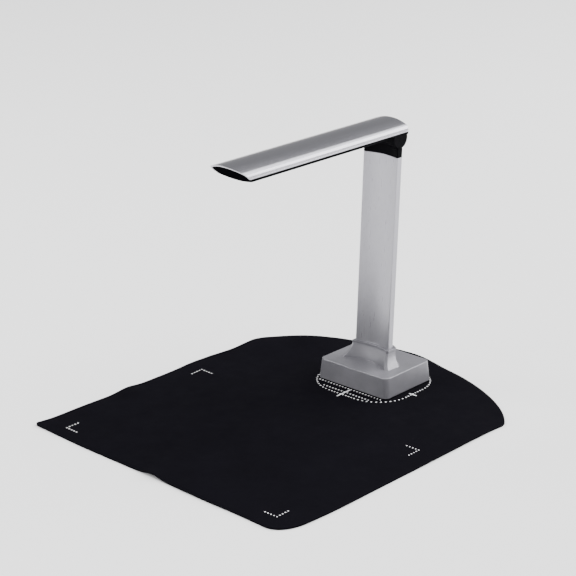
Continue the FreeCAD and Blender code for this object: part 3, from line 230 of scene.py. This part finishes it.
def circuit(name, color, copper):
    """Solder mask over tracks: straight-edged cells stand slightly proud of the board."""
    made = Shader(name, color, roughness=0.33, Coat_Weight=0.3, Coat_Roughness=0.15)
    tracks = made.cells(520, "DISTANCE_TO_EDGE")
    made.tint(tracks, copper, 0.03, 0.0)
    made.tint(made.noise(70), tuple(c * 0.8 for c in color))
    made.bump(tracks, 3e-5, 0.35)
    return made.material


def glass(name, color, coat):
    made = Shader(name, color, roughness=0.03, Transmission_Weight=0.92, IOR=1.5, Coat_Weight=0.6)
    made.shader.inputs["Coat Tint"].default_value = (*coat, 1)
    made.tint(made.noise(40), tuple(c * 0.85 for c in color))
    made.vary_roughness(made.noise(300), 0.02, 0.05)
    return made.material


def lamp_phosphor():
    made = Shader("lamp_phosphor", (0.82, 0.66, 0.12), roughness=0.35)
    made.tint(made.cells(900), (0.9, 0.8, 0.35), 0.0, 0.9)
    made.bump(made.noise(2500), 2e-5, 0.3)
    return made.material


def frosted():
    made = Shader("frosted_diffuser", (0.82, 0.82, 0.8), roughness=0.38, Subsurface_Weight=0.25,
                  Subsurface_Scale=0.002)
    made.tint(made.noise(50), (0.76, 0.76, 0.75))
    made.bump(made.noise(4200), 2e-5, 0.5)
    return made.material


def mat_surface():
    """Fine pebbled black sheet with faint creases from having been rolled."""
    made = Shader("mat_surface", (0.0030, 0.0027, 0.0044), roughness=0.8, Specular_IOR_Level=0.02)
    made.tint(made.noise(14, detail=5), (0.0040, 0.0036, 0.0058))
    made.tint(made.cells(1500), (0.0022, 0.0020, 0.0033), 0.25, 0.8)
    made.vary_roughness(made.noise(45), 0.64, 0.8)
    made.bump(made.cells(1500), 5e-5, 0.35)
    made.bump(made.noise(30, (1, 3, 1), detail=4), 3e-4, 0.35)
    return made.material


def ink():
    made = Shader("mat_ink", (0.9, 0.9, 0.92), roughness=0.55)
    made.tint(made.noise(900), (0.74, 0.74, 0.76))
    made.bump(made.cells(1500), 3e-5, 0.3)
    return made.material


def dress(object_, material):
    object_.data.materials.clear()
    object_.data.materials.append(material)


def dress_nodes():
    black = (0.0013, 0.0012, 0.0019)
    looks = {
        "arm_shell": anodised("silver_arm", (1, 0.01, 1), 0.40, roughness=0.22),
        "column_extrusion": anodised("silver_column", (1, 1, 0.01), 0.37, metallic=0.72),
        "base_shell": metallic_paint(),
        "base_weight": casting(),
        "usb_socket": steel("nickel_plate", (0.55, 0.55, 0.56), 0.25),
        "hinge_bush": steel("turned_brass", (0.72, 0.5, 0.2), 0.25, (0.05, 1, 1)),
        "camera_window": glass("window_glass", (0.5, 0.52, 0.55), (0.7, 0.8, 1.0)),
        "lens_elements": glass("coated_glass", (0.6, 0.62, 0.72), (0.55, 0.45, 0.9)),
        "image_sensor": polished("sensor_face", (0.03, 0.022, 0.05), 0.15),
        "leds": lamp_phosphor(),
        "light_diffuser": frosted(),
        "rubber_feet": rubber("foot_rubber"),
        "light_button": polished("button_black", (0.012, 0.012, 0.013), 0.2),
        "camera_bezel": polished("bezel_black", (0.008, 0.008, 0.009), 0.14),
        "tip_cap": moulded("tip_black", (0.0015, 0.0015, 0.002), 0.5, 2600, 6e-6,
                           Specular_IOR_Level=0.0),
        "friction_washers": moulded("washer_white", (0.62, 0.6, 0.54), 0.4),
        "led_board": circuit("lamp_board", (0.7, 0.7, 0.68), (0.78, 0.78, 0.74)),
        "camera_ribbon": polished("ribbon_film", (0.5, 0.2, 0.03), 0.25),
    }
    families = {
        moulded("black_moulding", black, 0.55, 2600, 1e-5, Specular_IOR_Level=0.02):
            ("arm_tray", "rear_cap", "hinge_fork", "hinge_caps", "bottom_cover", "lens_holder",
             "lens_barrel"),
        steel("zinc_screws", (0.4, 0.4, 0.42), 0.34):
            ("weight_screws", "cover_screws", "column_screws", "usb_board_screws", "fork_screws",
             "arm_screws", "camera_board_screws", "led_board_screws", "main_board_screws"),
        steel("ground_steel", (0.56, 0.56, 0.57), 0.24, (0.05, 1, 1)):
            ("hinge_shaft", "spring_washers", "hinge_nut"),
        circuit("green_board", (0.012, 0.09, 0.04), (0.03, 0.16, 0.07)):
            ("usb_board", "camera_board", "main_board"),
        moulded("connector_ivory", (0.6, 0.57, 0.47), 0.4, 2000, 8e-6):
            ("base_cable_connector", "cable_connectors"),
        moulded("chip_black", (0.016, 0.016, 0.017), 0.5, 4000, 8e-6):
            ("board_components", "button_switch"),
        rubber("cable_jacket", (0.014, 0.014, 0.015), 1600):
            ("column_cable", "arm_cable", "led_cable"),
    }
    for material, names in families.items():
        looks.update({name: material for name in names})
    for name, material in looks.items():
        dress(nodes[name], material)


# ---------------------------------------------------------------- mat

MAT_LOW, MAT_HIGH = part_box("mat")
MAT_TOP = MAT_HIGH.z
REAR_RADIUS = 236 * MM      # the arc behind
REAR_CENTRE = -34 * MM      # y of its centre, on x = 0
REAR_CORNER = 127 * MM      # y where the arc meets the sides
FRONT_TURN = 0.016          # slope of the front edge, which lies a little askew
FRONT_PIVOT = -30 * MM      # x about which it turns
PRESSED_REACH = 50 * MM     # how far round the base the mat is still pressed down
BASE_LOW, BASE_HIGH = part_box("base_shell")


def corner_drop(across, radius):
    """How far a rounded corner has pulled an edge in, at a distance from the side of the mat."""
    if across >= radius:
        return 0.0
    return radius - math.sqrt(radius ** 2 - (radius - across) ** 2)


def mat_edges(x):
    """Front and rear edge of the mat at x."""
    from_left, from_right = x - MAT_LOW.x, MAT_HIGH.x - x
    front = MAT_LOW.y + corner_drop(from_left, 5 * MM) + corner_drop(from_right, 30 * MM)
    rear = REAR_CENTRE + math.sqrt(REAR_RADIUS ** 2 - x ** 2)
    rear -= corner_drop(from_left, 8 * MM) + corner_drop(from_right, 5 * MM)
    return front - FRONT_TURN * (x - FRONT_PIVOT), rear


def smooth(share):
    """0 below 0, 1 above 1, and an even rise between."""
    share = min(max(share, 0), 1)
    return share * share * (3 - 2 * share)


def spread(x, y):
    """How far the left (x < 0) or right edge lies outward of its straight line, as the mat is laid."""
    from_front = y - MAT_LOW.y
    if x > 0:
        rear_corner = 4.5 * math.exp((y - REAR_CORNER) / (16 * MM))
        return MM * (rear_corner - 2 - 8 * math.exp(-from_front / (70 * MM)))
    front_corner = 9 * math.exp(-from_front / (20 * MM))
    return MM * (front_corner + 2.2 - 6 * smooth((y - 45 * MM) / (45 * MM)))


def calm(x, y):
    """0 under the base and near it, where the mat is pressed flat, and 1 well away from it."""
    beside = max(abs(x) - BASE_HIGH.x, 0)
    before = max(BASE_LOW.y - y, y - BASE_HIGH.y, 0)
    return smooth(math.hypot(beside, before) / PRESSED_REACH)


def hump(distance, width):
    return math.exp(-(distance / width) ** 2)


def lifted_edges(x, y):
    """Height of the lifted edges: three waves along the left one, and the left half of the rear one."""
    left = 1.0 * hump(y + 0.150, 0.048) + 2.4 * hump(y + 0.075, 0.016) + 1.3 * hump(y - 0.022, 0.022)
    from_rear = REAR_RADIUS - math.hypot(x, max(y - REAR_CENTRE, 0))
    rear = smooth((0.045 - x) / 0.05) * hump(from_rear, 0.035)
    rear *= 5.2 - 2.6 * hump(x - MAT_LOW.x, 0.03)
    return MM * (left * hump(x - MAT_LOW.x, 0.030) + rear)


def mat_height(x, y):
    """How far the mat stands above lying flat: soft waves, and a lifted fold at the front edge."""
    waves = noise.noise(Vector((x * 9, y * 11, 1.7))) + 0.5 * noise.noise(Vector((x * 24, y * 20, 5.1)))
    edge = min(x - MAT_LOW.x, MAT_HIGH.x - x, y - MAT_LOW.y)
    loose = 0.35 + 0.65 * math.exp(-max(edge, 0) / 0.035)
    fold_line = (x + 5 * MM + 0.25 * (y - MAT_LOW.y)) / 0.012
    fold = math.exp(-fold_line ** 2) * math.exp(-(y - MAT_LOW.y) / 0.03)
    rest = max(waves + 0.25, 0) * 1.3 * MM * loose + 3.2 * MM * fold
    return calm(x, y) * (rest + lifted_edges(x, y))


def add_mat():
    """The mat as it lies: a grid of columns, closer together near the sides, between its two edges."""
    side = MAT_HIGH.x
    columns = [side * math.sin(math.radians(a)) for a in range(-90, 91)]
    rows = 110
    mesh = bpy.data.meshes.new("mat_sheet")
    work = bmesh.new()
    grid = []
    for x in columns:
        front, rear = mat_edges(x)
        sway_front = 1.6 * MM * noise.noise(Vector((x * 14, 3.3, 0)))
        sway_rear = 1.2 * MM * noise.noise(Vector((x * 12, 8.8, 0)))
        line = []
        for k in range(rows + 1):
            share = k / rows
            y = front + share * (rear - front)
            y += (1 - share) ** 4 * (1.2 * MM - sway_front) - share ** 4 * (sway_rear + 0.6 * MM)
            inward = 1.2 * MM * (x / side) ** 7 * (0.5 + noise.noise(Vector((y * 13, 1.1, x * 4))))
            outward = math.copysign((x / side) ** 8, x) * spread(x, y)
            line.append(work.verts.new((x - inward + outward, y, MAT_TOP + mat_height(x, y))))
        grid.append(line)
    for left, right in zip(grid, grid[1:]):
        for k in range(rows):
            work.faces.new((left[k], right[k], right[k + 1], left[k + 1]))
    work.normal_update()
    work.to_mesh(mesh)
    work.free()
    for face in mesh.polygons:
        face.use_smooth = True
    piece = bpy.data.objects.new("mat_sheet", mesh)
    bpy.context.scene.collection.objects.link(piece)
    dress(piece, mat_surface())
    thick = piece.modifiers.new("thickness", "SOLIDIFY")
    thick.thickness = MAT_TOP * 0.9
    thick.offset = -1
    soft = piece.modifiers.new("soft_edge", "BEVEL")
    soft.width = 0.5 * MM
    soft.segments = 2
    soft.limit_method = "ANGLE"
    soft.angle_limit = math.radians(50)
    return piece


# ---------------------------------------------------------------- printed marks on the mat

def along(points, pitch):
    """Places at an even pitch along straight runs."""
    places = []
    for start, end in zip(points, points[1:]):
        start, end = Vector(start), Vector(end)
        count = max(1, round((end - start).length / pitch))
        places += [start.lerp(end, k / count) for k in range(count)]
    return places + [Vector(points[-1])]


def rounded_outline(centre, half_width, half_depth, radius, step=12):
    """A closed outline with round corners, from its rear left corner anticlockwise."""
    points = []
    for quarter, (i, j) in enumerate(((-1, 1), (-1, -1), (1, -1), (1, 1))):
        middle = Vector(centre) + Vector((i * (half_width - radius), j * (half_depth - radius)))
        for k in range(step + 1):
            angle = math.radians(90 + 90 * quarter + 90 * k / step)
            points.append(middle + Vector((math.cos(angle), math.sin(angle))) * radius)
    return points + points[:1]


def dots(places, size, seed):
    """Round ink dots: (place, radius) pairs with a little spread."""
    pick = random.Random(seed)
    return [(place, size * pick.uniform(0.88, 1.08)) for place in places]


def add_marks():
    """Rows of dots that show where the base stands, and dotted corners for the page."""
    pitch, size = 4.1 * MM, 0.95 * MM
    page_leg, bar_half_width, lift = 15 * MM, 0.8 * MM, 0.06 * MM
    middle = Vector((1.5 * MM, 122 * MM))
    spots = dots(along(rounded_outline(middle, 56.5 * MM, 53 * MM, 39 * MM), pitch), size, 1)
    for seed, (y, left, right) in enumerate(((84.8, -43, 42), (75.6, -29, 33)), start=2):
        spots += dots(along([(left * MM, y * MM), (right * MM, y * MM)], pitch), size, seed)
    # each corner of the page in mm, and the way its two legs run
    page = [((-151, -183), (1, 1)), ((142, -183), (-1, 1)), ((150, 14), (-1, -1)), ((-157, 17), (1, -1))]
    for seed, ((x, y), (i, j)) in enumerate(page, start=5):
        corner = Vector((x * MM, y * MM))
        path = [corner + Vector((i * page_leg, 0)), corner, corner + Vector((0, j * page_leg))]
        spots += dots(along(path, pitch * 0.9), size * 0.85, seed)
    # short solid bars on the ring's middle lines, from end to end in mm
    bars = [((1, 62), (1, 84)), ((1, 167), (1, 182)), ((54, 118.5), (64, 118.5)),
            ((-61, 118.5), (-51, 118.5))]

    mesh = bpy.data.meshes.new("mat_marks")
    work = bmesh.new()

    def on_mat(x, y):
        return Vector((x, y, MAT_TOP + mat_height(x, y) + lift))

    for place, radius in spots:
        ring = [on_mat(place.x + radius * math.cos(k * math.tau / 14),
                       place.y + radius * math.sin(k * math.tau / 14)) for k in range(14)]
        work.faces.new([work.verts.new(p) for p in ring])
    for start, end in bars:
        start, end = Vector(start) * MM, Vector(end) * MM
        side = (end - start).normalized().orthogonal() * bar_half_width
        corners = [start - side, start + side, end + side, end - side]
        work.faces.new([work.verts.new(on_mat(p.x, p.y)) for p in corners])
    work.normal_update()
    for face in work.faces:
        if face.normal.z < 0:
            face.normal_flip()
    work.to_mesh(mesh)
    work.free()
    piece = bpy.data.objects.new("mat_marks", mesh)
    bpy.context.scene.collection.objects.link(piece)
    dress(piece, ink())
    return piece


# ---------------------------------------------------------------- studio

def add_floor():
    mesh = bpy.data.meshes.new("floor")
    work = bmesh.new()
    bmesh.ops.create_grid(work, x_segments=4, y_segments=4, size=12)
    work.to_mesh(mesh)
    work.free()
    floor = bpy.data.objects.new("floor", mesh)
    bpy.context.scene.collection.objects.link(floor)
    dress(floor, Shader("floor_white", (0.93, 0.93, 0.93), roughness=0.85).material)


def add_light(name, place, target, size, watts):
    data = bpy.data.lights.new(name, "AREA")
    data.shape = "RECTANGLE"
    data.size, data.size_y = size
    data.energy = watts
    light = bpy.data.objects.new(name, data)
    light.location = place
    light.rotation_euler = (Vector(target) - Vector(place)).to_track_quat("-Z", "Y").to_euler()
    bpy.context.scene.collection.objects.link(light)
    return light


def add_studio():
    """A pale world, a wide overhead light, and four soft boxes: place, target, size in m, power in W."""
    world = bpy.data.worlds.new("studio")
    world.use_nodes = True
    background = world.node_tree.nodes["Background"]
    background.inputs["Color"].default_value = (0.97, 0.98, 1.0, 1)
    background.inputs["Strength"].default_value = 0.42
    bpy.context.scene.world = world
    sky = bpy.data.lights.new("overhead", "SUN")
    sky.energy = 4.6
    sky.angle = math.radians(70)
    overhead = bpy.data.objects.new("overhead", sky)
    overhead.rotation_euler = Vector((0.25, 0.3, 0.92)).to_track_quat("Z", "Y").to_euler()
    bpy.context.scene.collection.objects.link(overhead)
    add_light("softbox_right", (1.25, 2.4, 1.15), (0, 0, 0.28), (2.6, 1.5), 96)
    add_light("softbox_left", (-1.2, -1.8, 0.9), (0, 0.1, 0.1), (1.6, 1.2), 27)
    add_light("softbox_front", (1.55, -1.45, 1.0), (0, 0.1, 0.1), (0.6, 0.5), 9)
    add_light("softbox_high", (-1.7, -0.85, 1.9), (0, 0.1, 0.1), (0.8, 0.8), 26)


# ---------------------------------------------------------------- put together

add_camera()
dress_nodes()
sheet = add_mat()
marks = add_marks()
for piece in (sheet, marks):
    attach(piece, "mat")
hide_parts("mat")
add_floor()
add_studio()
